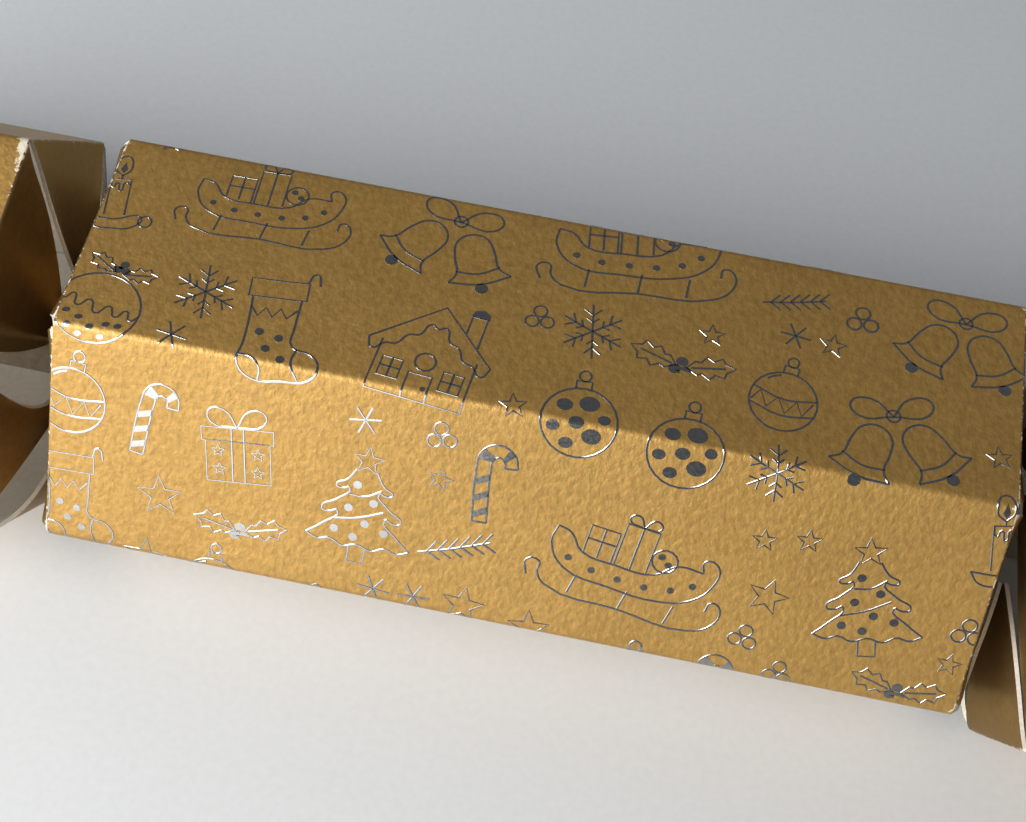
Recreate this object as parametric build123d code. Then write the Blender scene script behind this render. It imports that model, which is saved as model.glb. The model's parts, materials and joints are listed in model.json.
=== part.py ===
from build123d import *
import math
import os
from dataclasses import dataclass

# A christmas cracker folded from creased card: a six-sided barrel, a pinched and
# twisted neck at each end, two open cuffs, a snap through the necks and the usual
# contents on the barrel's floor. Millimetres, X along the cracker, Z up, with the
# origin under the middle of the barrel, on the face that the barrel lies on.

# The creased card of the barrel and the cuffs
card = 0.5
panel_width = 29.0
fold_radius = 1.0
barrel_length = 112.5
cuff_length = 70.0
glue_flap_width = 9.0
glue_flap_margin = 3.0

# The neck flaps, one pair on each panel, left by diamond cut-outs on the folds
flap_length = 18.5
flap_side_bow = 0.9
flap_set_back = 1.2
crease_gap = 0.3
waist_strip = 2.5
waist_gap = 0.2

# How the two ends were left by the hand that pinched them
left_neck_gap = 9.9
left_cuff_twist_degrees = 11.7
left_cuff_shift = -1.5
left_waist_twist_degrees = 30.0
left_front_pull_degrees = 12.0
right_neck_gap = 8.7
right_cuff_twist_degrees = -2.0
right_cuff_shift = -3.6
right_waist_twist_degrees = -48.0
right_front_pull_degrees = 0.0

# The snap: two card strips that rub on each other inside a paper band
snap_width = 6.0
snap_thickness = 0.4
snap_reach = 45.0
snap_overlap = 40.0
snap_layer_gap = 0.3
snap_clearance = 0.3
patch_length = 10.0
patch_width = 5.0
patch_thickness = 0.1
patch_inset = 4.0
band_length = 24.0
band_thickness = 0.2
band_clearance = 0.1

# The contents, lying loose on the barrel's floor
seat_clearance = 0.1
crown_length = 64.0
crown_diameter = 11.0
crown_bore = 2.0
crown_end_margin = 12.25
crown_y = -6.5
crown_band_width = 12.0
crown_band_thickness = 0.25
crown_band_clearance = 0.05
motto_length = 60.0
motto_width = 11.0
motto_thickness = 0.2
motto_end_margin = 14.25
motto_y = 7.0
top_end_margin = 18.25
top_disc_diameter = 17.0
top_disc_thickness = 4.0
top_disc_edge = 1.2
top_disc_height = 5.0
top_spindle_diameter = 3.0
top_spindle_length = 14.0
top_point_length = 2.5
top_bore_clearance = 0.02

# The panels of the section, in turn from the one that the barrel lies on
panel_names = ["bottom", "lower_back", "upper_back", "top", "upper_front", "lower_front"]
barrel_seam_panel = "lower_back"
cuff_seam_panel = "lower_back"

# Where each panel faces, in degrees from +Y towards +Z
facing_down_degrees = 270.0
half_turn = math.pi / len(panel_names)
panel_facing = {}
for place, panel_name in enumerate(panel_names):
    panel_facing[panel_name] = facing_down_degrees + math.degrees(2 * half_turn) * place

apothem = panel_width / (2 * math.tan(half_turn))
corner_reach = panel_width / (2 * math.sin(half_turn))
crease_radius = apothem - card / 2
axis_height = apothem


@dataclass
class End:
    """One end of the cracker: its side, neck gap, and how cuff and waist are turned."""
    name: str
    side: int
    gap: float
    twist: float
    shift: float
    waist_twist: float
    front_pull: float

    @property
    def barrel_crease_x(self):
        return self.side * barrel_length / 2

    @property
    def cuff_crease_x(self):
        return self.side * (barrel_length / 2 + self.gap)

    @property
    def waist_x(self):
        return self.side * (barrel_length / 2 + self.gap / 2)

    @property
    def cuff_centre(self):
        """The cuff's axis in Y and Z: a turned cuff is lifted until its lowest fold lies on the floor."""
        fold_centre = corner_reach - fold_radius / math.cos(half_turn)
        tip = abs(math.radians(self.twist))
        lowest = fold_centre * math.cos(half_turn - tip) + fold_radius
        return (self.shift, axis_height + max(lowest - apothem, 0.0))

    @property
    def waist_centre(self):
        y, z = self.cuff_centre
        return (y / 2, (axis_height + z) / 2)

    def waist_turn(self, facing):
        """How far a flap's tip is carried round the waist, in degrees: the front flaps may be pulled further."""
        faces_front = math.cos(math.radians(facing)) < -0.5
        return self.waist_twist + (self.front_pull if faces_front else 0.0)

    def waist_radius(self, facing):
        inset = math.sqrt(flap_length ** 2 - (self.gap / 2) ** 2)
        return (crease_radius - inset) / math.cos(math.radians(self.waist_turn(facing)))


ends = [
    End(
        "left",
        -1,
        left_neck_gap,
        left_cuff_twist_degrees,
        left_cuff_shift,
        left_waist_twist_degrees,
        left_front_pull_degrees,
    ),
    End(
        "right",
        1,
        right_neck_gap,
        right_cuff_twist_degrees,
        right_cuff_shift,
        right_waist_twist_degrees,
        right_front_pull_degrees,
    ),
]


def hexagon(reach, radius):
    """A six-sided section with a flat at the bottom and rounded folds."""
    corners = []
    for facing in panel_facing.values():
        angle = math.radians(facing) + half_turn
        corners.append((reach * math.cos(angle), reach * math.sin(angle)))
    outline = Polygon(*corners, align=None)
    return fillet(outline.vertices(), radius)


def card_tube(length):
    """A tube of folded card along X, centred on its own axis."""
    outer = hexagon(corner_reach, fold_radius)
    inner = hexagon(corner_reach - card / math.cos(half_turn), fold_radius - card)
    return extrude(Plane.YZ * (outer - inner), length / 2, both=True)


def glue_flap(length, panel):
    """The glued strip on the inside of one panel, along the fold where the sheet closes."""
    straight = panel_width / 2 - fold_radius * math.tan(half_turn)
    width = min(glue_flap_width, 2 * straight)
    strip = Box(length - 2 * glue_flap_margin, width, card)
    on_panel = Pos(0, straight - width / 2, apothem - 1.5 * card) * strip
    return Rot(panel_facing[panel] - 90.0, 0, 0) * on_panel


def seated_cuff(end, shape):
    """Turn a cuff's own shape about X and set it at its place at one end."""
    y, z = end.cuff_centre
    middle = end.cuff_crease_x + end.side * cuff_length / 2
    return Pos(middle, y, z) * Rot(end.twist, 0, 0) * shape


def crease(end, on_cuff, facing):
    """The fold line of a neck flap: its middle, and its direction along the panel."""
    if on_cuff:
        centre = end.cuff_centre
        angle = math.radians(facing + end.twist)
        x = end.cuff_crease_x
    else:
        centre = (0.0, axis_height)
        angle = math.radians(facing)
        x = end.barrel_crease_x
    middle = Vector(
        x,
        centre[0] + crease_radius * math.cos(angle),
        centre[1] + crease_radius * math.sin(angle),
    )
    along = Vector(0, -math.sin(angle), math.cos(angle))
    return middle, along


def waist_point(end, on_cuff, facing):
    """The middle of a flap's narrow tip, just on its own side of the waist."""
    back = (card + waist_gap) / 2
    x = end.waist_x + (end.side if on_cuff else -end.side) * back
    y, z = end.waist_centre
    angle = math.radians(facing + end.waist_turn(facing))
    radius = end.waist_radius(facing)
    return Vector(x, y + radius * math.cos(angle), z + radius * math.sin(angle))


def flap_frame(end, on_cuff, facing):
    """A flap's plane on its crease, the length to its tip, and the tip's sideways lean."""
    middle, along = crease(end, on_cuff, facing)
    reach = waist_point(end, on_cuff, facing) - middle
    lean = reach.dot(along)
    fall = reach - along * lean
    normal = along.cross(fall.normalized())
    return Plane(origin=middle, x_dir=along, z_dir=normal), fall.length, lean


def bowed_side(start, stop):
    """A flap's cut side, bowed out to the right of the way from start to stop."""
    way = (stop - start).normalized()
    outward = Vector(way.Y, -way.X)
    return ThreePointArc(start, (start + stop) / 2 + outward * flap_side_bow, stop)


def neck_flap(end, on_cuff, facing):
    """A flat tapered flap with bowed sides, from its crease in to the narrow strip at the waist."""
    plane, length, lean = flap_frame(end, on_cuff, facing)
    half_base = panel_width / 2 - fold_radius * math.tan(half_turn) - flap_set_back
    half_tip = waist_strip / 2
    base_left = Vector(-half_base, crease_gap)
    base_right = Vector(half_base, crease_gap)
    tip_right = Vector(lean + half_tip, length)
    tip_left = Vector(lean - half_tip, length)
    outline = make_face([
        Line(base_left, base_right),
        bowed_side(base_right, tip_right),
        Line(tip_right, tip_left),
        bowed_side(tip_left, base_left),
    ])
    return extrude(plane * outline, card / 2, both=True)


def snap_seat():
    """The height of the lower snap strip's underside, just over the flaps at both waists."""
    seats = []
    for end in ends:
        y, z = end.waist_centre
        narrowest = min(end.waist_radius(facing) for facing in panel_facing.values())
        clear = narrowest - card / 2 - snap_clearance
        beside = snap_width / 2 + abs(y)
        seats.append(z - math.sqrt(clear ** 2 - beside ** 2))
    return max(seats)


def snap_strip(end):
    """One half of the snap, from inside its cuff to past the middle of the barrel."""
    outer = end.cuff_crease_x + end.side * snap_reach
    inner = -end.side * snap_overlap / 2
    strip = Box(abs(outer - inner), snap_width, snap_thickness)
    layer = 0.0 if end.side < 0 else snap_thickness + snap_layer_gap
    return Pos((outer + inner) / 2, 0, snap_seat() + snap_thickness / 2 + layer) * strip


def friction_patch(end):
    """The rough patch near a strip's inner end, on the face that rubs on the other strip."""
    patch = Box(patch_length, patch_width, patch_thickness)
    x = -end.side * (snap_overlap / 2 - patch_inset - patch_length / 2)
    if end.side < 0:
        z = snap_seat() + snap_thickness + patch_thickness / 2
    else:
        z = snap_seat() + snap_thickness + snap_layer_gap - patch_thickness / 2
    return Pos(x, 0, z) * patch


def snap_band():
    """The paper sleeve round both strips at the middle of the snap."""
    stack = 2 * snap_thickness + snap_layer_gap
    inside = Box(band_length, snap_width + 2 * band_clearance, stack + 2 * band_clearance)
    outside = Box(
        band_length,
        snap_width + 2 * (band_clearance + band_thickness),
        stack + 2 * (band_clearance + band_thickness),
    )
    return Pos(0, 0, snap_seat() + stack / 2) * (outside - inside)


def lying_roll(length, outer, inner):
    """A round roll along X."""
    ring = Circle(outer / 2) - Circle(inner / 2)
    return extrude(Plane.YZ * ring, length / 2, both=True)


floor = card
left_end = -barrel_length / 2
right_end = barrel_length / 2
crown_x = left_end + crown_end_margin + crown_length / 2
motto_x = left_end + motto_end_margin + motto_length / 2
top_x = right_end - top_end_margin
band_outside = crown_diameter + 2 * (crown_band_clearance + crown_band_thickness)
crown_place = Pos(crown_x, crown_y, floor + seat_clearance + band_outside / 2)
top_foot = floor + seat_clearance


def top_spindle():
    """The turned peg of the spinning top, standing on its point."""
    radius = top_spindle_diameter / 2
    shaft = Cylinder(
        radius,
        top_spindle_length - top_point_length,
        align=(Align.CENTER, Align.CENTER, Align.MIN),
    )
    point = Cone(radius / 3, radius, top_point_length, align=(Align.CENTER, Align.CENTER, Align.MIN))
    return Pos(top_x, 0, top_foot) * (Pos(0, 0, top_point_length) * shaft + point)


def top_disc():
    """The disc of the spinning top, pushed on to the peg."""
    disc = Cylinder(top_disc_diameter / 2, top_disc_thickness)
    disc = chamfer(disc.edges().filter_by(GeomType.CIRCLE), top_disc_edge)
    disc -= Cylinder(top_spindle_diameter / 2 + top_bore_clearance, top_disc_thickness)
    return Pos(top_x, 0, top_foot + top_disc_height + top_disc_thickness / 2) * disc


def cracker():
    """Every piece of the cracker by name."""
    on_axis = Pos(0, 0, axis_height)
    pieces = {
        "barrel": on_axis * card_tube(barrel_length),
        "barrel_glue_flap": on_axis * glue_flap(barrel_length, barrel_seam_panel),
        "snap_band": snap_band(),
        "paper_crown": crown_place * lying_roll(crown_length, crown_diameter, crown_bore),
        "crown_band": crown_place * lying_roll(
            crown_band_width, band_outside, crown_diameter + 2 * crown_band_clearance
        ),
        "motto_slip": Pos(motto_x, motto_y, floor + motto_thickness / 2)
        * Box(motto_length, motto_width, motto_thickness),
        "top_disc": top_disc(),
        "top_spindle": top_spindle(),
    }
    for end in ends:
        pieces[f"{end.name}_cuff"] = seated_cuff(end, card_tube(cuff_length))
        pieces[f"{end.name}_cuff_glue_flap"] = seated_cuff(end, glue_flap(cuff_length, cuff_seam_panel))
        pieces[f"{end.name}_snap_strip"] = snap_strip(end)
        pieces[f"{end.name}_friction_patch"] = friction_patch(end)
        for panel, facing in panel_facing.items():
            pieces[f"{end.name}_barrel_flap_{panel}"] = neck_flap(end, False, facing)
            pieces[f"{end.name}_cuff_flap_{panel}"] = neck_flap(end, True, facing)
    return pieces


os.makedirs("parts", exist_ok=True)
for name, piece in cracker().items():
    export_step(piece, f"parts/{name}.step")
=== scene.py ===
import json
import math
import random
import bpy
from mathutils import Matrix, Vector


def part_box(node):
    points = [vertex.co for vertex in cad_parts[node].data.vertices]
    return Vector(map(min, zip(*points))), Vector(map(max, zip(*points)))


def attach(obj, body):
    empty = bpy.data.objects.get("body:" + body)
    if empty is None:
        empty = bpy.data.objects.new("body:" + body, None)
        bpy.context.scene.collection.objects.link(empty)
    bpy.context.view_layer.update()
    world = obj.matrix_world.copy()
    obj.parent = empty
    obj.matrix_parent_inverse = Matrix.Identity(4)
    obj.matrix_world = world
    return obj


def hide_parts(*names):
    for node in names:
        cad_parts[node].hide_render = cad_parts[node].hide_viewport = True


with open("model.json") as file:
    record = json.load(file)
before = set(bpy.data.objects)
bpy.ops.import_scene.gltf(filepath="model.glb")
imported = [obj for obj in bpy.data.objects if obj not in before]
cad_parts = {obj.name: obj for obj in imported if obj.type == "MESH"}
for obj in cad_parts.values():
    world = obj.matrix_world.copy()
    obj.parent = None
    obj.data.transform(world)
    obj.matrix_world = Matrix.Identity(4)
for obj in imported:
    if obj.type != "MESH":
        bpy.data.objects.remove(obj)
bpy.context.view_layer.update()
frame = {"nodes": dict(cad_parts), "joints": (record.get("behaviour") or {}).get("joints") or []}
MM = 0.001

# Camera: a hand-held view from above the front, rolled a little, so that the barrel
# runs down to the right and both necks are cut by the frame's edges.
camera_place = Vector((9.15, -122.24, 216.19)) * MM
camera_turn_degrees = (32.96, -3.36, 10.95)
camera_lens = 60.8
camera_data = bpy.data.cameras.new("camera")
camera_data.lens = camera_lens
camera_data.sensor_fit = "HORIZONTAL"
camera_data.sensor_width = 36.0
camera_data.clip_start = 5 * MM
camera = bpy.data.objects.new("camera", camera_data)
camera.location = camera_place
camera.rotation_euler = [math.radians(a) for a in camera_turn_degrees]
bpy.context.scene.collection.objects.link(camera)
bpy.context.scene.camera = camera
bpy.context.scene.view_settings.view_transform = "Standard"


# Studio light: one tall soft box standing on the floor at the left front, which the lower
# visible panel mirrors in its left half, and a weaker fill high above it.
def soft_box(name, place, aim, width, height, power, spread_degrees):
    data = bpy.data.lights.new(name, "AREA")
    data.shape = "RECTANGLE"
    data.size = width
    data.size_y = height
    data.energy = power
    data.spread = math.radians(spread_degrees)
    lamp = bpy.data.objects.new(name, data)
    lamp.location = place
    lamp.rotation_euler = (Vector(aim) - Vector(place)).to_track_quat("-Z", "Y").to_euler()
    bpy.context.scene.collection.objects.link(lamp)


soft_box("key_box", (-0.40, -0.44, 0.325), (-0.06, 0.05, 0.325), 0.80, 0.65, 4.4, 180)
soft_box("left_fill", (-0.31, -0.25, 0.34), (-0.05, 0.0, 0.03), 0.3, 0.3, 1.0, 110)
world = bpy.data.worlds.new("studio")
world.use_nodes = True
room = world.node_tree.nodes["Background"]
room.inputs["Color"].default_value = (0.66, 0.69, 0.76, 1)
room.inputs["Strength"].default_value = 0.20
bpy.context.scene.world = world


# Floor: a plain pale grey sheet of studio paper with a faint fibre tone. The barrel's
# bottom panel lies on it.
def add_node(material, kind, **values):
    node = material.node_tree.nodes.new(kind)
    for key, value in values.items():
        name = key.replace("_", " ")
        if name in node.inputs:
            node.inputs[name].default_value = value
        else:
            setattr(node, key, value)
    return node


def wire(material, source, target):
    material.node_tree.links.new(source, target)


def new_material(name, colour, roughness, metallic=0.0):
    material = bpy.data.materials.new(name)
    material.use_nodes = True
    shader = material.node_tree.nodes["Principled BSDF"]
    shader.inputs["Base Color"].default_value = (*colour, 1)
    shader.inputs["Roughness"].default_value = roughness
    shader.inputs["Metallic"].default_value = metallic
    return material, shader


def place_coords(material, scale=(1, 1, 1), shift=(0, 0, 0)):
    coords = add_node(material, "ShaderNodeTexCoord")
    mapping = add_node(material, "ShaderNodeMapping", Scale=scale, Location=shift)
    wire(material, coords.outputs["Object"], mapping.inputs["Vector"])
    return mapping.outputs["Vector"]


def noise(material, vector, scale, detail=3.0, rough=0.5):
    node = add_node(material, "ShaderNodeTexNoise", Scale=scale, Detail=detail, Roughness=rough)
    wire(material, vector, node.inputs["Vector"])
    return node.outputs["Fac"]


def ramp(material, factor, low, high, low_colour, high_colour):
    node = add_node(material, "ShaderNodeValToRGB")
    wire(material, factor, node.inputs["Fac"])
    node.color_ramp.elements[0].position = low
    node.color_ramp.elements[0].color = (*low_colour, 1)
    node.color_ramp.elements[1].position = high
    node.color_ramp.elements[1].color = (*high_colour, 1)
    return node.outputs["Color"]


bpy.ops.object.select_all(action="DESELECT")
bpy.ops.mesh.primitive_plane_add(size=6.0)
floor = bpy.context.object
floor.name = "floor"
floor_paper, floor_shader = new_material("floor_paper", (0.63, 0.65, 0.66), 0.8)
floor_tone = noise(floor_paper, place_coords(floor_paper), 900.0)
wire(
    floor_paper,
    ramp(floor_paper, floor_tone, 0.3, 0.7, (0.62, 0.64, 0.65), (0.65, 0.67, 0.68)),
    floor_shader.inputs["Base Color"],
)
floor.data.materials.append(floor_paper)


# Barrel: one panel-creased tube of 0.5 mm pearl gold card with a felt-marked face, white
# inside. It is rolled round its folds and closed by a glued strip along one of them.
card = 0.5 * MM
fold_radius = 1.0 * MM
half_turn = math.pi / 6
barrel_low, barrel_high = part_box("barrel")
apothem = (barrel_high.z - barrel_low.z) / 2
corner_reach = apothem / math.cos(half_turn)
tangent_length = fold_radius * math.tan(half_turn)
flat_width = 2 * (apothem * math.tan(half_turn) - tangent_length)
panel_period = flat_width + fold_radius * 2 * half_turn
fold_segments = 5
cuts_along_tube = 59
cuts_across_panel = 13
felt_depth = 0.125 * MM
fleck_share = 0.12
wide_tone_share = 0.3
scuffed_colour = (0.62, 0.56, 0.46)
bare_colour = (0.68, 0.60, 0.46)
fold_wear_reach = 2.0 * MM
barrel_rubbing = 0.5


def gold_card(name, dark, light, grain, gloss, scuff):
    """Pearl gold card: its two tones, depth of its felt marks, shine, and how scuffed it is."""
    metallic = 0.62 + 0.23 * gloss
    material, shader = new_material(name, light, 0.60 - 0.36 * gloss, metallic)
    shader.inputs["Specular IOR Level"].default_value = 0.25
    felt = noise(material, place_coords(material, (1.0, 0.75, 0.75)), 1450.0, 2.0, 0.5)
    fleck = noise(material, place_coords(material), 9000.0, 2.0)
    wide = noise(material, place_coords(material), 60.0, 2.0)
    tone = add_node(material, "ShaderNodeMix", data_type="FLOAT")
    wire(material, felt, tone.inputs[2])
    wire(material, wide, tone.inputs[3])
    tone.inputs[0].default_value = wide_tone_share
    gold = ramp(material, tone.outputs[0], 0.3, 0.7, dark, light)
    rub_place = place_coords(material, (0.3, 1.0, 1.0), (0.013, 0.02, 0.031))
    rub = noise(material, rub_place, 520.0, 5.0, 0.75)
    rub_mask = ramp(material, rub, 0.60, 0.74, (0, 0, 0), (scuff, scuff, scuff))
    rubbed = add_node(material, "ShaderNodeMix", data_type="RGBA")
    wire(material, rub_mask, rubbed.inputs[0])
    wire(material, gold, rubbed.inputs[6])
    rubbed.inputs[7].default_value = (*scuffed_colour, 1)
    worn = add_node(material, "ShaderNodeAttribute", attribute_name="wear")
    fray = noise(material, place_coords(material), 1400.0, 4.0, 0.7)
    bare = add_node(material, "ShaderNodeMath", operation="ADD")
    wire(material, worn.outputs["Fac"], bare.inputs[0])
    wire(material, fray, bare.inputs[1])
    bare_mask = ramp(material, bare.outputs[0], 0.96, 1.0, (0, 0, 0), (1, 1, 1))
    coat = add_node(material, "ShaderNodeMix", data_type="RGBA")
    wire(material, bare_mask, coat.inputs[0])
    wire(material, rubbed.outputs[2], coat.inputs[6])
    coat.inputs[7].default_value = (*bare_colour, 1)
    wire(material, coat.outputs[2], shader.inputs["Base Color"])
    metal = add_node(material, "ShaderNodeMapRange")
    wire(material, bare_mask, metal.inputs["Value"])
    metal.inputs["To Min"].default_value = metallic
    metal.inputs["To Max"].default_value = 0.0
    wire(material, metal.outputs["Result"], shader.inputs["Metallic"])
    height = add_node(material, "ShaderNodeMix", data_type="FLOAT")
    height.inputs[0].default_value = fleck_share
    wire(material, felt, height.inputs[2])
    wire(material, fleck, height.inputs[3])
    bump = add_node(material, "ShaderNodeBump", Strength=grain, Distance=felt_depth)
    wire(material, height.outputs[0], bump.inputs["Height"])
    wire(material, bump.outputs["Normal"], shader.inputs["Normal"])
    return material


def plain_card(name, dark, light, scale):
    """The white core or back of the card, with paper mottling."""
    material, shader = new_material(name, light, 0.75)
    mottle = noise(material, place_coords(material), scale, 4.0)
    wire(material, ramp(material, mottle, 0.3, 0.7, dark, light), shader.inputs["Base Color"])
    bump = add_node(material, "ShaderNodeBump", Strength=0.3, Distance=0.03 * MM)
    wire(material, mottle, bump.inputs["Height"])
    wire(material, bump.outputs["Normal"], shader.inputs["Normal"])
    return material


felt_gold = gold_card("felt_gold_card", (0.375, 0.217, 0.055), (0.535, 0.314, 0.085), 1.0, 0.25, 0.0)
# The flaps' smooth gold is darker and less yellow than the felt gold of the same sheet; part of that
# darkening is painted shade, as the flaps sit in the shaded necks.
smooth_gold = gold_card("smooth_gold_card", (0.34, 0.222, 0.094), (0.43, 0.282, 0.12), 0.12, 0.9, 0.2)
felt_inputs = felt_gold.node_tree.nodes["Principled BSDF"].inputs
felt_inputs["Coat Weight"].default_value = 0.3
felt_inputs["Coat Roughness"].default_value = 0.42
smooth_inputs = smooth_gold.node_tree.nodes["Principled BSDF"].inputs
# A dull specular tint dims the flaps' grazing reflections: painted shade, like their darker tone.
smooth_inputs["Specular Tint"].default_value = (0.40, 0.34, 0.28, 1)
card_back = plain_card("card_back", (0.82, 0.77, 0.70), (0.89, 0.85, 0.78), 1500.0)
card_core = plain_card("card_cut_edge", (0.64, 0.57, 0.46), (0.80, 0.73, 0.62), 3000.0)


def edit_selected(obj):
    """Make one object the only selected one, and open it in edit mode with nothing chosen."""
    bpy.ops.object.select_all(action="DESELECT")
    obj.select_set(True)
    bpy.context.view_layer.objects.active = obj
    bpy.ops.object.mode_set(mode="EDIT")
    bpy.ops.mesh.select_mode(type="EDGE")
    bpy.ops.mesh.select_all(action="DESELECT")
    bpy.ops.object.mode_set(mode="OBJECT")


def edit_whole(obj):
    """Open one object in edit mode with all of it chosen."""
    edit_selected(obj)
    bpy.ops.object.mode_set(mode="EDIT")
    bpy.ops.mesh.select_all(action="SELECT")


def choose_edges(obj, wanted):
    """Select the edges whose vector is wanted, and stay in edit mode."""
    edit_selected(obj)
    points = obj.data.vertices
    for edge in obj.data.edges:
        a, b = (points[i].co for i in edge.vertices)
        edge.select = wanted(b - a)
    bpy.ops.object.mode_set(mode="EDIT")


def use_modifier(obj, kind, **settings):
    """Add one modifier and apply it."""
    modifier = obj.modifiers.new(kind.lower(), kind)
    for key, value in settings.items():
        setattr(modifier, key, value)
    bpy.context.view_layer.objects.active = obj
    bpy.ops.object.modifier_apply(modifier=modifier.name)


def set_wear(obj, amount):
    """Store how worn the card is at each point, from 0 to 1."""
    wear = obj.data.attributes.new("wear", "FLOAT", "POINT")
    wear.data.foreach_set("value", [amount(v.co) for v in obj.data.vertices])


def runs_along(edge):
    """True for an edge that runs along the cracker."""
    return abs(edge.x) > abs(edge.y) + abs(edge.z)


def card_tube(name, low_x, high_x, face):
    """A six-sided tube of card about the X axis, with rounded folds, in three materials."""
    bpy.ops.object.select_all(action="DESELECT")
    bpy.ops.mesh.primitive_cylinder_add(
        vertices=6, radius=corner_reach, depth=high_x - low_x, end_fill_type="NOTHING",
        location=((low_x + high_x) / 2, 0, 0), rotation=(0, math.pi / 2, 0),
    )
    tube = bpy.context.object
    tube.name = name
    bpy.ops.object.transform_apply(location=True, rotation=True, scale=True)
    choose_edges(tube, runs_along)
    bpy.ops.mesh.bevel(
        offset=tangent_length, offset_type="OFFSET", segments=fold_segments, profile=0.5,
    )
    bpy.ops.object.mode_set(mode="OBJECT")
    choose_edges(tube, runs_along)
    bpy.ops.mesh.subdivide(number_cuts=cuts_along_tube)
    bpy.ops.object.mode_set(mode="OBJECT")
    choose_edges(tube, lambda edge: edge.length > flat_width / 2)
    bpy.ops.mesh.subdivide(number_cuts=cuts_across_panel)
    bpy.ops.object.mode_set(mode="OBJECT")
    for material in (face, card_back, card_core):
        tube.data.materials.append(material)
    return tube


def finish_tube(tube):
    """Give the tube its wall and soft shading."""
    use_modifier(
        tube, "SOLIDIFY", thickness=card, offset=-1.0, use_even_offset=True,
        material_offset=1, material_offset_rim=2,
    )
    bpy.ops.object.select_all(action="DESELECT")
    tube.select_set(True)
    bpy.context.view_layer.objects.active = tube
    bpy.ops.object.shade_smooth_by_angle(angle=math.radians(35))


barrel = card_tube("barrel_card", barrel_low.x, barrel_high.x, felt_gold)
barrel.data.transform(Matrix.Translation((0, 0, apothem)))
finish_tube(barrel)


def fold_wear(point, centre_y, centre_z, from_end, rubbing):
    """Rubbed at the ends of the folds, where the neck is cut away."""
    reach = math.hypot(point.y - centre_y, point.z - centre_z)
    at_fold = max(0.0, (reach - apothem) / (corner_reach - apothem))
    return rubbing * at_fold ** 2 * math.exp(-from_end / fold_wear_reach)


def barrel_wear(point):
    return fold_wear(point, 0.0, apothem, barrel_high.x - abs(point.x), barrel_rubbing)


set_wear(barrel, barrel_wear)
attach(barrel, "barrel")
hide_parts("barrel")


# Cuffs: two open tubes of the same creased card, turned and set over by the hand that
# pinched the necks. Their outer ends are plain cuts.
cuff_rubbing = 0.66
crease_rubbing = 0.33
crease_rub_reach = 0.7 * MM


def cuff_card(side, twist_degrees):
    node = f"{side}_cuff"
    low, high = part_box(node)
    tube = card_tube(f"{side}_cuff_card", low.x, high.x, felt_gold)
    middle = (low + high) / 2
    neck_x = high.x if side == "left" else low.x
    centre = Matrix.Translation((0, middle.y, middle.z))
    tube.data.transform(centre @ Matrix.Rotation(math.radians(twist_degrees), 4, "X"))
    finish_tube(tube)

    def neck_wear(point):
        """Rubbed pale at the folds, and in flecks along the crease between them."""
        from_neck = abs(point.x - neck_x)
        at_folds = fold_wear(point, middle.y, middle.z, from_neck, cuff_rubbing)
        return at_folds + crease_rubbing * math.exp(-from_neck / crease_rub_reach)

    set_wear(tube, neck_wear)
    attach(tube, node)
    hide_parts(node)


cuff_card("left", 11.7)
cuff_card("right", -2.0)


# Neck flaps: the tapered tongues that the diamond cut-outs leave on each panel, folded in
# at a crease to the pinched waist. Smooth gold face, darker than the barrel's gold partly as
# painted shade, white back, pale cut sides. A few are bent or fuller than the others, as the
# hand left them.
fall_shares = (
    0, 0.015, 0.035, 0.065, 0.11, 0.17, 0.25, 0.35, 0.46, 0.58, 0.645, 0.71, 0.78, 0.85, 1.0,
)
flap_columns = 20
nose_steps = (1.0, 0.866, 0.5)
side_bow = 0.9 * MM
fuller_flaps = {
    "left_cuff_flap_top": 0.55 * MM,
    "left_cuff_flap_upper_back": 0.55 * MM,
    "left_cuff_flap_upper_front": -0.8 * MM,
}
wider_sides = {"right_cuff_flap_lower_front": 0.8 * MM}
slimmer_sides = {"left_cuff_flap_upper_front": 2.5 * MM}
# How far each flap bends out, how early the bend starts, and whether at its lower side only.
soft_bends = {
    "right_cuff_flap_bottom": (1.3 * MM, 0.55, True),
    "right_cuff_flap_lower_front": (1.2 * MM, 0.55, True),
    "left_cuff_flap_lower_front": (3.0 * MM, 0.7, False),
}
flat_flap = (0.0, 1.0, False)
side_lift = 0.22 * MM
foot_reach = 1.0 * MM
foot_fade = 4 * MM
horn_height = 0.7 * MM
horn_rise = 0.7 * MM
horn_fade = 8 * MM
horn_width = 7 * MM
crease_line_wear = 0.4
crease_line_reach = 0.2 * MM
crease_end_wear = 0.2
crease_end_reach = 0.9 * MM


def flap_shape(node, hinge, along):
    """The flap's own directions and the corners of its outline, read from its solid."""
    points = [v.co.copy() for v in frame["nodes"][node].data.vertices]
    middle = sum(points, Vector()) / len(points) - hinge
    down = (middle - along * middle.dot(along)).normalized()
    out = along.cross(down)
    length = max((p - hinge).dot(down) for p in points)
    base = [(p - hinge).dot(along) for p in points if (p - hinge).dot(down) < 0.4 * MM]
    tip = [(p - hinge).dot(along) for p in points if (p - hinge).dot(down) > length - 0.05 * MM]
    return down, out, length, (min(base), max(base)), (min(tip), max(tip))


def slimming(share):
    """How much of a slimmer side is drawn in, from 0 at the crease to 1 and back at the tip."""
    return 6.85 * share ** 1.8 * (1 - share) ** 1.1


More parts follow.
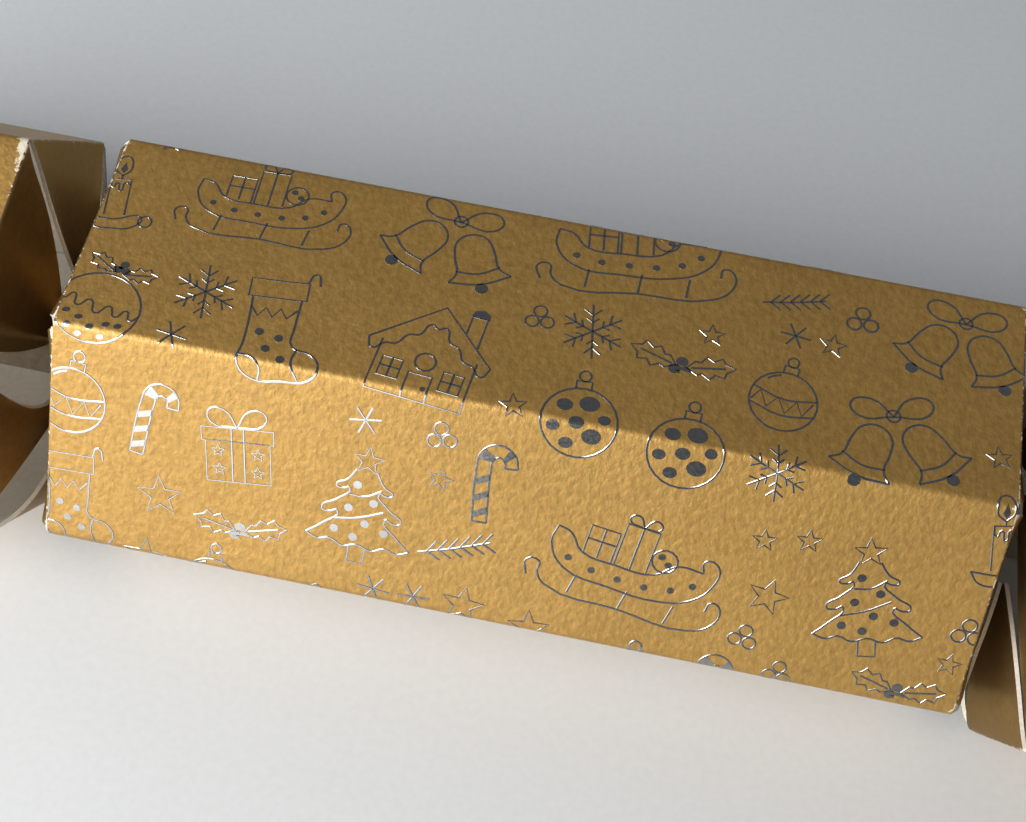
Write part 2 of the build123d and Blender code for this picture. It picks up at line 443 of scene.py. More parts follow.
def neck_flap(node, bulge):
    joint = next(j for j in frame["joints"] if j["child"] == node)
    hinge = Vector(joint["pos_m"])
    along = Vector(joint["axis"]).normalized()
    down, out, length, base, tip = flap_shape(node, hinge, along)
    on_barrel = "_barrel_flap_" in node
    first_corner, last_corner = (hinge + along * reach for reach in base)
    bent_hand = -1 if first_corner.y + first_corner.z < last_corner.y + last_corner.z else 1
    bend, bend_start, at_one_side = soft_bends.get(node, flat_flap)
    bpy.ops.object.select_all(action="DESELECT")
    rows = len(nose_steps) + len(fall_shares) - 1
    bpy.ops.mesh.primitive_grid_add(x_subdivisions=flap_columns, y_subdivisions=rows, size=2.0)
    flap = bpy.context.object
    flap.name = f"{node}_card"
    nose = card / 2
    falls = [-nose * step for step in nose_steps] + [length * share for share in fall_shares]
    for v in flap.data.vertices:
        fall = falls[round((v.co.y + 1) / 2 * rows)]
        from_crease = max(fall, 0.0)
        share = from_crease / length
        sides = []
        for hand_side, foot, end in ((-1, base[0], tip[0]), (1, base[1], tip[1])):
            slant = math.hypot(1.0, (end - foot) / length)
            fullness = side_bow + fuller_flaps.get(node, 0.0)
            drawn_in = 0.0
            if hand_side != bent_hand:
                fullness += wider_sides.get(node, 0.0)
                drawn_in = slimmer_sides.get(node, 0.0) * slimming(share)
            bow = (4 * fullness * share * (1 - share) - drawn_in) * slant
            spread = foot_reach * max(0.0, 1 - from_crease / foot_fade) ** 2
            sides.append(foot + (end - foot) * share + hand_side * (bow + spread))
        across = sides[0] + (sides[1] - sides[0]) * (v.co.x + 1) / 2
        swell = bulge * math.sin(math.pi * share) * (1 - v.co.x ** 2)
        swell += side_lift * abs(v.co.x) ** 8 * math.sin(math.pi * share)
        bent_share = (1 + bent_hand * v.co.x) / 2 if at_one_side else 1.0
        swell += bend * bent_share * math.sin(math.pi * share ** bend_start)
        if on_barrel:
            from_corner = min(across - base[0], base[1] - across) + foot_reach
            rise = min(1.0, from_crease / horn_rise) * max(0.0, 1 - from_crease / horn_fade)
            near = max(0.0, 1 - max(from_corner, 0.0) / horn_width)
            swell += horn_height * rise * near ** 1.5
        v.co = (across, fall, swell)
    for material in (smooth_gold, card_back, card_core):
        flap.data.materials.append(material)
    use_modifier(
        flap, "SOLIDIFY", thickness=card, offset=0.0, material_offset=1, material_offset_rim=2,
    )
    for v in flap.data.vertices:
        if v.co.y < 0:
            v.co.z = math.copysign(math.sqrt(max(nose ** 2 - v.co.y ** 2, 0.0)), v.co.z)
    for face in flap.data.polygons:
        if face.center.y < 0 and face.material_index == 1:
            face.material_index = 0

    def crease_wear(point):
        """Rubbed pale along the crease, and more at its two corners."""
        below = max(point.y, 0.0)
        corner = (abs(point.x) / (base[1] + foot_reach)) ** 8
        along_line = crease_line_wear * math.exp(-below / crease_line_reach)
        return along_line + crease_end_wear * corner * math.exp(-below / crease_end_reach)

    set_wear(flap, crease_wear)
    turned = Matrix((along, down, out)).transposed().to_4x4()
    flap.data.transform(Matrix.Translation(hinge) @ turned)
    edit_whole(flap)
    bpy.ops.mesh.remove_doubles(threshold=0.002 * MM)
    bpy.ops.object.mode_set(mode="OBJECT")
    bpy.ops.object.shade_smooth_by_angle(angle=math.radians(40))
    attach(flap, node)
    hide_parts(node)


most_bulge = 0.25
hand = random.Random(7)
for node in sorted(frame["nodes"]):
    if "_flap_" in node and "glue" not in node:
        neck_flap(node, hand.uniform(-most_bulge, most_bulge) * MM)


# Foil print: silver foil stamped on the barrel's sheet while it was flat, in pen lines and
# small filled spots. Winter motifs scattered over all six panels, some of them cut by the ends.
foil_width = 0.36 * MM
foil_flat = 0.16 * MM
foil_height = 0.035 * MM
foil_sink = 0.02 * MM
foil, foil_shader = new_material("silver_foil", (0.38, 0.37, 0.355), 0.16, 1.0)
foil_grain = noise(foil, place_coords(foil), 2600.0, 3.0)
foil_tone = ramp(foil, foil_grain, 0.3, 0.7, (0.335, 0.327, 0.313), (0.435, 0.425, 0.408))
wire(foil, foil_tone, foil_shader.inputs["Base Color"])
foil_shine = add_node(foil, "ShaderNodeMapRange")
foil_shine.inputs["To Min"].default_value = 0.10
foil_shine.inputs["To Max"].default_value = 0.24
wire(foil, foil_grain, foil_shine.inputs["Value"])
wire(foil, foil_shine.outputs["Result"], foil_shader.inputs["Roughness"])


def swung(x, y, px, py, turn):
    """The point (px, py) of a shape that is turned about its middle and set at (x, y)."""
    cos, sin = math.cos(turn), math.sin(turn)
    return (x + px * cos - py * sin, y + px * sin + py * cos)


class Drawing:
    """One motif in millimetres about its own middle: pen lines, smooth curves and filled spots."""

    def __init__(self):
        self.lines = []
        self.curves = []
        self.spots = []

    def line(self, *points, closed=False):
        self.lines.append((points, closed))

    def curve(self, *points, closed=False):
        self.curves.append((points, closed))

    def twin_curves(self, *points):
        for side in (-1, 1):
            self.curve(*[(side * x, y) for x, y in points])

    def oval(self, x, y, rx, ry, filled=False, turn=0.0):
        ring = []
        steps = max(8, round(12 * math.sqrt(max(rx, ry))))
        for i in range(steps):
            a = 2 * math.pi * i / steps
            ring.append(swung(x, y, rx * math.cos(a), ry * math.sin(a), turn))
        if filled:
            self.spots.append(ring)
        else:
            self.lines.append((ring, True))

    def spot(self, *points):
        self.spots.append(points)

    def dots(self, radius, *places):
        for x, y in places:
            self.oval(x, y, radius, radius, filled=True)


def holly_leaf(d, x, y, turn, size=1.0):
    edge = [
        (0, 0), (1.1, 0.9), (1.7, 0.75), (2.5, 1.5),
        (3.2, 0.9), (4.2, 1.35), (4.5, 0.6), (5.6, 0),
    ]
    lower = [(px, -py) for px, py in reversed(edge[1:-1])]
    ring = [swung(x, y, px * size, py * size, turn) for px, py in edge + lower]
    d.line(*ring, closed=True)
    d.line(swung(x, y, 0.5 * size, 0, turn), swung(x, y, 4.4 * size, 0, turn))


def fir_tree():
    d = Drawing()
    d.twin_curves(
        (1.2, 5.6), (2.2, 3.9), (3.4, 2.9), (2.4, 2.7), (1.8, 2.9), (3.1, 1.0),
        (4.8, -0.6), (3.7, -0.8), (2.9, -0.5), (4.5, -2.7), (6.3, -4.3),
    )
    d.curve(
        (-6.3, -4.3), (-4.8, -4.9), (-3.4, -4.5), (-1.8, -5.2), (0, -4.7),
        (1.8, -5.2), (3.4, -4.5), (4.8, -4.9), (6.3, -4.3),
    )
    d.line((-1.0, -5.1), (-1.0, -7.2), (1.0, -7.2), (1.0, -5.1))
    star(d, 0, 6.9, 1.9)
    d.dots(
        0.55, (-0.9, 3.5), (1.3, 1.4), (-1.6, 0.2), (0.6, -1.6),
        (3.0, -2.4), (-3.0, -3.0), (-0.6, -3.7),
    )
    d.curve((-1.7, 2.0), (0.2, 2.1), (2.0, 3.2))
    d.curve((-3.3, -1.7), (-0.4, -1.0), (2.6, 0.4))
    return d


def star(d, x, y, r, inner=0.42, points=5):
    ring = []
    for i in range(2 * points):
        a = math.pi / 2 + math.pi * i / points
        ring.append(swung(x, y, r if i % 2 == 0 else r * inner, 0, a))
    d.line(*ring, closed=True)


def hanger(d, top):
    d.line((-0.9, top), (-0.9, top + 1.1), (0.9, top + 1.1), (0.9, top))
    d.oval(0, top + 1.8, 0.7, 0.75)


def spotted_bauble():
    d = Drawing()
    d.oval(0, -0.8, 4.4, 4.5)
    hanger(d, 3.6)
    spots = (
        (-1.9, 1.2, 0.95), (0.9, 1.7, 1.2), (2.8, -0.2, 0.75), (-0.3, -0.9, 0.9),
        (-2.9, -1.6, 0.8), (1.6, -2.4, 1.15), (-1.2, -3.6, 0.85),
    )
    for x, y, r in spots:
        d.oval(x, y, r, r * 0.86, filled=True)
    return d


def banded_bauble():
    d = Drawing()
    d.oval(0, -0.8, 4.2, 4.3)
    hanger(d, 3.4)
    d.curve((-4.0, 0.4), (0, -0.5), (4.0, 0.4))
    d.curve((-4.0, -2.0), (0, -2.9), (4.0, -2.0))
    d.line(
        (-3.9, -1.7), (-3.0, 0.0), (-1.9, -2.2), (-0.7, -0.4),
        (0.5, -2.5), (1.6, -0.4), (2.6, -2.2), (3.6, -0.1),
    )
    d.curve((-2.6, 1.9), (-1.9, 2.5), (-1.1, 2.9))
    return d


def pudding():
    d = Drawing()
    d.oval(0, -1.2, 5.2, 4.9)
    d.curve(
        (-5.1, -0.6), (-4.2, -1.6), (-3.3, -0.4), (-2.3, -1.9), (-1.1, -0.5), (0.2, -2.1),
        (1.4, -0.5), (2.6, -1.7), (3.5, -0.3), (4.4, -1.4), (5.1, -0.6),
    )
    raisins = (
        (-3.0, -3.0), (-1.2, -3.3), (-2.0, -4.7), (0.6, -4.0),
        (2.2, -3.0), (3.6, -2.7), (2.2, -4.7), (-0.4, -5.3),
    )
    for x, y in raisins:
        d.oval(x, y, 0.5, 0.38, filled=True, turn=0.5)
    holly_leaf(d, 0.5, 4.2, 0.35, 0.75)
    holly_leaf(d, -0.5, 4.2, math.pi - 0.35, 0.75)
    d.dots(0.55, (-0.5, 4.6), (0.55, 4.7), (0.0, 5.5))
    return d


def gift():
    d = Drawing()
    d.line((-4.2, -4.8), (4.2, -4.8), (4.2, 1.0), (-4.2, 1.0), closed=True)
    d.line((-4.7, 1.0), (4.7, 1.0), (4.7, 2.9), (-4.7, 2.9), closed=True)
    d.line((-0.8, -4.8), (-0.8, 2.9))
    d.line((0.8, -4.8), (0.8, 2.9))
    d.twin_curves((0, 3.0), (1.6, 5.4), (3.6, 5.3), (3.4, 3.6), (0, 3.0))
    for x, y in ((-2.6, -0.4), (-2.5, -3.0), (2.6, -0.6), (2.5, -3.2)):
        star(d, x, y, 0.9)
    return d


def cane():
    d = Drawing()
    d.curve((-0.7, -5.6), (-0.7, 1.6), (-0.2, 3.8), (1.7, 4.8), (3.6, 3.8), (4.1, 2.0))
    d.curve((1.0, -5.6), (1.0, 1.7), (1.2, 2.8), (1.9, 3.2), (2.5, 2.7), (2.6, 1.9))
    d.line((-0.7, -5.6), (1.0, -5.6))
    d.line((4.1, 2.0), (2.6, 1.9))
    for y in (-4.6, -2.4, -0.2):
        d.spot((-0.7, y - 0.5), (1.0, y + 0.3), (1.0, y + 1.2), (-0.7, y + 0.4))
    d.spot((-0.45, 2.7), (1.15, 2.5), (1.5, 3.1), (0.1, 4.2))
    d.spot((2.2, 3.05), (3.0, 4.4), (3.75, 3.7), (2.6, 2.6))
    return d


def stocking():
    d = Drawing()
    d.line((-3.4, 6.8), (3.0, 6.8), (3.0, 4.4), (-3.4, 4.4), closed=True)
    d.curve(
        (-2.9, 4.4), (-2.8, 1.0), (-2.9, -2.0), (-3.2, -4.6), (-1.6, -6.2), (1.6, -6.2),
        (4.6, -5.8), (5.6, -4.2), (4.6, -2.6), (2.4, -1.8), (2.3, 0.8), (2.5, 4.4),
    )
    d.curve((-3.2, -3.4), (-1.7, -3.6), (-0.8, -4.8), (-1.0, -6.3))
    d.curve((3.0, -2.0), (2.6, -3.8), (3.4, -6.0))
    d.line((-2.8, 3.0), (-2.0, 1.8), (-1.2, 3.0), (-0.4, 1.8), (0.4, 3.0), (1.2, 1.8), (2.2, 3.0))
    d.dots(0.5, (-1.4, -0.3), (0.8, -0.9), (-0.4, -2.4), (1.4, -3.6))
    d.curve((2.8, 6.8), (3.6, 8.2), (4.2, 6.6))
    return d


def bells():
    d = Drawing()
    dome = (
        (-3.6, -3.4), (-2.5, -2.3), (-2.3, 0.3), (-1.7, 2.3), (0, 3.1),
        (1.7, 2.3), (2.3, 0.3), (2.5, -2.3), (3.6, -3.4),
    )
    mouth = ((-3.6, -3.4), (0, -4.1), (3.6, -3.4))
    band = ((-2.5, -2.0), (0, -2.6), (2.5, -2.0))
    for side in (-1, 1):
        for points in (dome, mouth, band):
            d.curve(*[swung(side * 3.2, -0.6, x, y, side * 0.5) for x, y in points])
        d.dots(0.75, swung(side * 3.2, -0.6, 0, -4.7, side * 0.5))
    d.twin_curves((0, 3.4), (2.2, 5.8), (4.6, 5.4), (4.0, 3.6), (0, 3.4))
    d.oval(0, 3.5, 0.8, 0.8)
    return d


def holly():
    d = Drawing()
    holly_leaf(d, 0.6, 0.2, 0.25)
    holly_leaf(d, -0.6, 0.2, math.pi - 0.25)
    d.dots(0.7, (-0.7, -0.3), (0.6, -0.4), (0.0, 0.8))
    return d


def snowflake():
    d = Drawing()
    for i in range(6):
        a = math.pi / 6 + math.pi * i / 3
        d.line((0, 0), swung(0, 0, 3.9, 0, a))
        for fork in (((3.2, 1.0), (2.3, 0), (3.2, -1.0)), ((1.9, 0.7), (1.3, 0), (1.9, -0.7))):
            d.line(*[swung(0, 0, x, y, a) for x, y in fork])
    return d


def small_star():
    d = Drawing()
    star(d, 0, 0, 2.6)
    return d


def candle():
    d = Drawing()
    d.line((-1.3, -3.4), (-1.3, 2.6), (1.3, 2.6), (1.3, -3.4))
    d.curve((-1.3, 2.6), (-0.9, 1.2), (-0.4, 2.0), (0.1, 0.6), (0.6, 2.1), (1.3, 1.7))
    d.line((0, 2.6), (0, 3.4))
    d.curve((0, 3.2), (-1.0, 4.3), (0.1, 6.6), (1.0, 4.4), (0, 3.2))
    d.spot((0, 3.6), (-0.45, 4.3), (0.1, 5.5), (0.45, 4.3))
    d.curve(
        (-3.6, -3.6), (-2.6, -5.2), (0, -5.6), (2.6, -5.2), (3.6, -3.6), (0, -4.1), (-3.6, -3.6),
    )
    d.oval(4.1, -4.2, 0.9, 0.9)
    return d


def mitten():
    d = Drawing()
    d.line((-2.6, -5.4), (2.4, -5.4), (2.4, -3.2), (-2.6, -3.2), closed=True)
    d.curve(
        (-2.3, -3.2), (-2.8, 0.6), (-2.0, 4.2), (0.2, 5.2), (2.2, 3.8), (2.5, 1.2),
        (3.4, 2.2), (4.6, 2.0), (4.4, 0.4), (2.6, -1.8), (2.2, -3.2),
    )
    for a in (0.0, 1.047, 2.094):
        d.line(swung(-0.2, 1.4, -1.5, 0, a), swung(-0.2, 1.4, 1.5, 0, a))
    for x in (-1.6, -0.1, 1.4):
        d.line((x, -4.9), (x, -3.7))
    return d


def sleigh():
    d = Drawing()
    d.curve(
        (-11.4, -4.6), (-11.8, -2.6), (-10.4, -2.4), (-10.2, -3.9), (-9.0, -5.2), (0, -5.4),
        (8.6, -5.2), (11.0, -3.4), (11.2, -1.2), (10.0, -0.6), (9.6, -2.0),
    )
    d.curve(
        (-9.6, 3.0), (-9.8, 0.6), (-7.6, -2.2), (-2.0, -2.9), (4.0, -2.7),
        (7.6, -1.2), (9.4, 1.6), (9.2, 4.2), (7.6, 4.4), (7.8, 2.8),
    )
    d.curve(
        (-9.6, 3.0), (-8.0, 2.6), (-6.2, 0.6), (-2.0, 0.2), (2.6, 0.6), (4.8, 2.6), (7.8, 2.8),
    )
    for x in (-6.2, 0.0, 5.6):
        d.line((x, -5.3), (x + 0.4, -2.6))
    d.line((-6.0, 0.7), (-6.0, 4.4), (-2.6, 4.4), (-2.6, 0.3))
    d.line((-4.3, 0.4), (-4.3, 4.4))
    d.line((-6.0, 2.6), (-2.6, 2.6))
    d.line((-2.2, 0.3), (-2.2, 6.0), (1.6, 6.0), (1.6, 0.5))
    d.line((-0.3, 0.3), (-0.3, 6.0))
    d.curve((-0.3, 6.0), (-1.4, 7.4), (-2.2, 6.6), (-0.3, 6.0))
    d.curve((-0.3, 6.0), (0.8, 7.4), (1.6, 6.6), (-0.3, 6.0))
    d.oval(3.2, 2.7, 1.5, 1.5)
    d.dots(
        0.45, (2.7, 3.2), (3.7, 2.4), (-7.4, -0.7), (-4.4, -1.4),
        (-1.2, -1.5), (2.0, -1.4), (5.0, -0.7), (7.2, 0.7),
    )
    return d


def cottage():
    d = Drawing()
    d.line((-5.6, 0.4), (-5.6, -6.4), (5.6, -6.4), (5.6, 0.4))
    d.line((-7.2, 0.2), (0, 6.8), (7.2, 0.2))
    d.curve(
        (-7.2, 0.2), (-6.4, -1.2), (-5.2, -0.1), (-4.0, 0.2), (-3.0, 1.8),
        (-1.8, 2.2), (-0.9, 4.0), (0, 3.6), (0.9, 4.0), (1.8, 2.2),
        (3.0, 1.8), (4.0, 0.2), (5.2, -0.1), (6.4, -1.2), (7.2, 0.2),
    )
    d.line((3.2, 4.0), (3.2, 6.6), (5.0, 6.6), (5.0, 2.4))
    d.spot((3.0, 6.6), (3.2, 7.4), (4.2, 7.8), (5.1, 7.3), (5.2, 6.6))
    d.line((-1.4, -6.4), (-1.4, -3.0), (1.4, -3.0), (1.4, -6.4))
    d.oval(0, -1.2, 1.2, 1.2)
    for x in (-3.6, 3.6):
        d.line((x - 1.2, -4.4), (x + 1.2, -4.4), (x + 1.2, -1.8), (x - 1.2, -1.8), closed=True)
        d.line((x, -4.4), (x, -1.8))
        d.line((x - 1.2, -3.1), (x + 1.2, -3.1))
    d.dots(0.3, (0.8, -4.8))
    return d


def sprig():
    d = Drawing()
    d.curve((-4.0, -1.2), (-0.5, -0.2), (4.0, 1.4))
    for i in range(6):
        x = -3.0 + 1.25 * i
        y = -0.95 + 0.42 * i
        d.line((x, y), (x + 1.0, y + 1.5))
        d.line((x, y), (x + 1.5, y - 0.9))
    return d


def berries():
    d = Drawing()
    for x, y in ((-0.95, -0.55), (0.95, -0.55), (0.0, 1.05)):
        d.oval(x, y, 0.85, 0.85)
    return d


def snow_crystal():
    d = Drawing()
    for i in range(3):
        a = math.pi * i / 3
        d.line(swung(0, 0, -1.9, 0, a), swung(0, 0, 1.9, 0, a))
    return d


def tiny_star():
    d = Drawing()
    star(d, 0, 0, 1.6)
    return d


def new_curve(name, dimensions):
    data = bpy.data.curves.new(name, "CURVE")
    data.dimensions = dimensions
    obj = bpy.data.objects.new(name, data)
    bpy.context.scene.collection.objects.link(obj)
    return obj


def add_straight(curve, points, closed):
    spline = curve.data.splines.new("POLY")
    spline.points.add(len(points) - 1)
    for target, (x, y) in zip(spline.points, points):
        target.co = (x * MM, y * MM, 0, 1)
    spline.use_cyclic_u = closed


def add_smooth(curve, points, closed):
    spline = curve.data.splines.new("BEZIER")
    spline.bezier_points.add(len(points) - 1)
    for target, (x, y) in zip(spline.bezier_points, points):
        target.co = (x * MM, y * MM, 0)
        target.handle_left_type = "AUTO"
        target.handle_right_type = "AUTO"
    spline.resolution_u = 4
    spline.use_cyclic_u = closed


pen_section = new_curve("pen_section", "2D")
pen_corners = [
    (-foil_width, -foil_sink), (foil_width, -foil_sink),
    (foil_flat, foil_height), (-foil_flat, foil_height),
]
add_straight(pen_section, [(x / 2 / MM, y / MM) for x, y in pen_corners], True)


def stamped(drawing, name):
    """Turn one drawing into a flat mesh of foil, lying in X and Y."""
    pen = new_curve(name, "3D")
    pen.data.twist_mode = "Z_UP"
    pen.data.bevel_mode = "OBJECT"
    pen.data.bevel_object = pen_section
    pen.data.use_fill_caps = True
    for points, closed in drawing.lines:
        add_straight(pen, points, closed)
    for points, closed in drawing.curves:
        add_smooth(pen, points, closed)
    bpy.ops.object.select_all(action="DESELECT")
    if drawing.spots:
        fill = new_curve(name + "_spots", "2D")
        fill.data.fill_mode = "BOTH"
        fill.data.extrude = (foil_height + foil_sink) / 2
        for points in drawing.spots:
            add_straight(fill, points, True)
        fill.select_set(True)
    pen.select_set(True)
    bpy.context.view_layer.objects.active = pen
    bpy.ops.object.convert(target="MESH")
    if drawing.spots:
        fill.data.transform(Matrix.Translation((0, 0, (foil_height - foil_sink) / 2)))
        bpy.ops.object.join()
    return pen


def stamp_set(*draws):
    return [stamped(draw(), draw.__name__) for draw in draws]


large_motifs = stamp_set(sleigh, cottage, fir_tree, stocking, bells)
middle_motifs = stamp_set(
    pudding, spotted_bauble, banded_bauble, gift, cane, candle, mitten, spotted_bauble,
)
small_motifs = stamp_set(holly, snowflake, small_star, sprig)
tiny_motifs = stamp_set(berries, snow_crystal, tiny_star)
sheet_round = 6 * panel_period
most_turn_degrees = 12
size_range = (0.92, 1.08)
tries_per_motif = 90
print_hand = random.Random(21)
taken = []
stamps = []


def boxes_apart(box, other, lap):
    """True if two boxes (low x, low s, high x, high s) are apart, the first moved up by lap."""
    beside = box[2] < other[0] or other[2] < box[0]
    return beside or box[3] + lap < other[1] or other[3] < box[1] + lap


def try_stamp(motif, margin):
    """Find a free place on the sheet for one motif, by chance, and put a copy there."""
    turn = math.radians(print_hand.uniform(-most_turn_degrees, most_turn_degrees))
    size = print_hand.uniform(*size_range)
    spin = Matrix.Rotation(turn, 4, "Z") @ Matrix.Scale(size, 4)
    corners = [spin @ v.co for v in motif.data.vertices]
    low = (min(c.x for c in corners), min(c.y for c in corners))
    high = (max(c.x for c in corners), max(c.y for c in corners))
    for attempt in range(tries_per_motif):
        x = print_hand.uniform(barrel_low.x, barrel_high.x)
        s = print_hand.uniform(-sheet_round / 2, sheet_round / 2)
        box = (
            x + low[0] - margin, s + low[1] - margin,
            x + high[0] + margin, s + high[1] + margin,
        )
        laps = (-sheet_round, 0.0, sheet_round)
        if all(boxes_apart(box, other, lap) for other in taken for lap in laps):
            taken.append(box)
            copy = bpy.data.objects.new("foil_copy", motif.data.copy())
            copy.data.transform(Matrix.Translation((x, s, 0)) @ spin)
            bpy.context.scene.collection.objects.link(copy)
            stamps.append(copy)
            return


print_rounds = (
    (large_motifs, 30, 0.5 * MM),
    (middle_motifs, 60, 0.5 * MM),
    (small_motifs, 80, 0.4 * MM),
    (tiny_motifs, 90, 0.3 * MM),
)
for motifs, count, margin in print_rounds:
    for place in range(count):
        try_stamp(motifs[place % len(motifs)], margin)

bpy.ops.object.select_all(action="DESELECT")
for copy in stamps:
    copy.select_set(True)
bpy.context.view_layer.objects.active = stamps[0]
bpy.ops.object.join()
foil_print = stamps[0]
foil_print.name = "foil_print"
for motif in large_motifs + middle_motifs + small_motifs + tiny_motifs:
    bpy.data.objects.remove(motif)
bpy.data.objects.remove(pen_section)

end_trim = 0.02 * MM
edit_whole(foil_print)
for end_x, way in ((barrel_low.x, -1), (barrel_high.x, 1)):
    bpy.ops.mesh.select_all(action="SELECT")
    bpy.ops.mesh.bisect(
        plane_co=(end_x - way * end_trim, 0, 0), plane_no=(way, 0, 0),
        clear_outer=True, use_fill=True,
    )
fold_arc = fold_radius * half_turn
for panel in range(-4, 5):
    for share in (-1.0, -0.6, -0.2, 0.2, 0.6, 1.0):
        bpy.ops.mesh.select_all(action="SELECT")
        bpy.ops.mesh.bisect(
            plane_co=(0, (panel + 0.5) * panel_period + share * fold_arc, 0), plane_no=(0, 1, 0),
        )
bpy.ops.object.mode_set(mode="OBJECT")

upper_front_facing = math.radians(150)
for v in foil_print.data.vertices:
    panel = round(v.co.y / panel_period)
    u = v.co.y - panel * panel_period
    facing = upper_front_facing - panel * 2 * half_turn
    normal = Vector((0, math.cos(facing), math.sin(facing)))
    up_sheet = Vector((0, math.sin(facing), -math.cos(facing)))
    if abs(u) <= flat_width / 2:
        spot = normal * (apothem + v.co.z) + up_sheet * u
    else:
        bend = (abs(u) - flat_width / 2) / fold_radius
        up_sheet = up_sheet * math.copysign(1.0, u)
        spot = normal * (apothem - fold_radius) + up_sheet * flat_width / 2
        spot += (normal * math.cos(bend) + up_sheet * math.sin(bend)) * (fold_radius + v.co.z)
    v.co = (v.co.x, spot.y, spot.z + apothem)
foil_print.data.materials.clear()
foil_print.data.materials.append(foil)
edit_whole(foil_print)
bpy.ops.mesh.remove_doubles(threshold=0.0005 * MM)
bpy.ops.mesh.normals_make_consistent(inside=False)
bpy.ops.object.mode_set(mode="OBJECT")
bpy.ops.object.shade_smooth_by_angle(angle=math.radians(25))
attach(foil_print, "barrel")


# Glued strips: the narrow margins of card that close the barrel and the cuffs, on the inside.
# They show the white back of the sheet.
def dress(node, material):
    """Give a solid of the frame its own finish."""
    solid = frame["nodes"][node]
    solid.data.materials.clear()
    solid.data.materials.append(material)


for node in ("barrel_glue_flap", "left_cuff_glue_flap", "right_cuff_glue_flap"):
    dress(node, card_back)


# Snap: two strips of grey board that slide on each other in a paper sleeve, each with a rough
# dark patch where they rub. They run out through both necks into the cuffs.
snap_board = plain_card("snap_board", (0.42, 0.36, 0.27), (0.60, 0.53, 0.42), 700.0)
rough_coat = plain_card("rough_coat", (0.035, 0.028, 0.024), (0.11, 0.085, 0.07), 4200.0)
sleeve_paper = plain_card("sleeve_paper", (0.66, 0.63, 0.57), (0.80, 0.78, 0.72), 1100.0)
for side in ("left", "right"):
    dress(f"{side}_snap_strip", snap_board)
    dress(f"{side}_friction_patch", rough_coat)
dress("snap_band", sleeve_paper)


# Paper crown: a band of red tissue with zigzag points, rolled up tight. A paper band holds
# the roll in the middle.
tissue = plain_card("crown_tissue", (0.42, 0.018, 0.022), (0.60, 0.035, 0.04), 380.0)
tissue.node_tree.nodes["Principled BSDF"].inputs["Sheen Weight"].default_value = 0.3
crown_low, crown_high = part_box("paper_crown")
roll_radius = (crown_high.z - crown_low.z) / 2
roll_y = (crown_low.y + crown_high.y) / 2
roll_z = (crown_low.z + crown_high.z) / 2
roll_turns = 7
roll_bore = 1.1 * MM
tissue_thickness = 0.16 * MM
steps_per_turn = 40
crease_count = 23
creases_per_radian = 3.1
most_crease = 0.07
point_width = 9 * MM
point_height = 6.0 * MM
bpy.ops.object.select_all(action="DESELECT")
bpy.ops.mesh.primitive_grid_add(x_subdivisions=20, y_subdivisions=roll_turns * steps_per_turn, size=2.0)
crown = bpy.context.object
crown.name = "rolled_crown"
crease_hand = random.Random(3)
creases = [crease_hand.uniform(-most_crease, most_crease) * MM for i in range(crease_count)]
for v in crown.data.vertices:
    share = (v.co.y + 1) / 2
    angle = share * roll_turns * 2 * math.pi
    reach = roll_bore + (roll_radius - tissue_thickness - roll_bore) * share
    reach += creases[int(angle * creases_per_radian) % crease_count] * (1 - share) * share * 3
    zigzag = abs((angle * reach / point_width) % 2.0 - 1.0)
    end_cut = point_height * zigzag if v.co.x > 0.99 else 0.0
    x = crown_low.x + (crown_high.x - crown_low.x) * (v.co.x + 1) / 2 - end_cut
    v.co = (x, roll_y + reach * math.cos(angle), roll_z + reach * math.sin(angle))
crown.data.materials.append(tissue)
use_modifier(crown, "SOLIDIFY", thickness=tissue_thickness, offset=0.0)
bpy.ops.object.shade_smooth_by_angle(angle=math.radians(50))
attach(crown, "barrel")
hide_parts("paper_crown")
dress("crown_band", sleeve_paper)


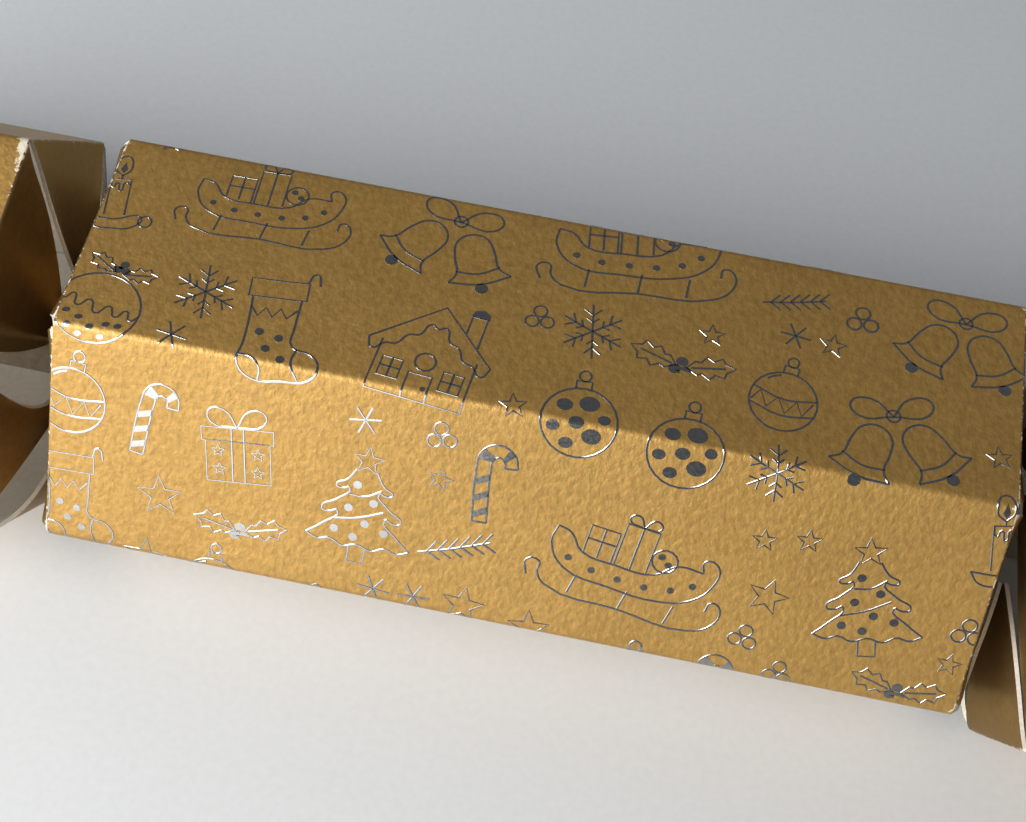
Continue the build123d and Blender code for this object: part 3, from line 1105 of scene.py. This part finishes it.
# Motto: a slip of printing paper, blank here, that lies flat on the barrel's floor. Off-white,
# with the faint mottling of uncoated paper.
motto_paper = plain_card("motto_paper", (0.74, 0.72, 0.66), (0.86, 0.84, 0.78), 900.0)
dress("motto_slip", motto_paper)


# Spinning top: a turned wooden disc, painted in rings, pushed on a bare peg with a point.
top_low, top_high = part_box("top_disc")
top_place = (-(top_low.x + top_high.x) / 2, -(top_low.y + top_high.y) / 2, 0)
ring_paint, ring_shader = new_material("ring_paint", (0.05, 0.18, 0.09), 0.35)
ring_place = place_coords(ring_paint, (1, 1, 0), top_place)
ring_reach = add_node(ring_paint, "ShaderNodeVectorMath", operation="LENGTH")
wire(ring_paint, ring_place, ring_reach.inputs[0])
ring_share = add_node(ring_paint, "ShaderNodeMath", operation="DIVIDE")
ring_share.inputs[1].default_value = (top_high.x - top_low.x) / 2
wire(ring_paint, ring_reach.outputs["Value"], ring_share.inputs[0])
red, cream, green = (0.55, 0.03, 0.03), (0.72, 0.66, 0.52), (0.04, 0.20, 0.09)
ring_colours = ramp(ring_paint, ring_share.outputs[0], 0.0, 0.42, red, cream)
ring_colours.node.color_ramp.interpolation = "CONSTANT"
for place, colour in ((0.55, green), (0.80, cream), (0.88, red)):
    ring_colours.node.color_ramp.elements.new(place).color = (*colour, 1)
wire(ring_paint, ring_colours, ring_shader.inputs["Base Color"])
brush = noise(ring_paint, place_coords(ring_paint, (1, 1, 4)), 1500.0)
brush_bump = add_node(ring_paint, "ShaderNodeBump", Strength=0.25, Distance=0.04 * MM)
wire(ring_paint, brush, brush_bump.inputs["Height"])
wire(ring_paint, brush_bump.outputs["Normal"], ring_shader.inputs["Normal"])
dress("top_disc", ring_paint)
peg_wood, peg_shader = new_material("peg_wood", (0.58, 0.40, 0.22), 0.6)
peg_grain = noise(peg_wood, place_coords(peg_wood, (1, 1, 0.08)), 2600.0, 4.0)
peg_tone = ramp(peg_wood, peg_grain, 0.3, 0.7, (0.46, 0.30, 0.15), (0.66, 0.48, 0.28))
wire(peg_wood, peg_tone, peg_shader.inputs["Base Color"])
dress("top_spindle", peg_wood)
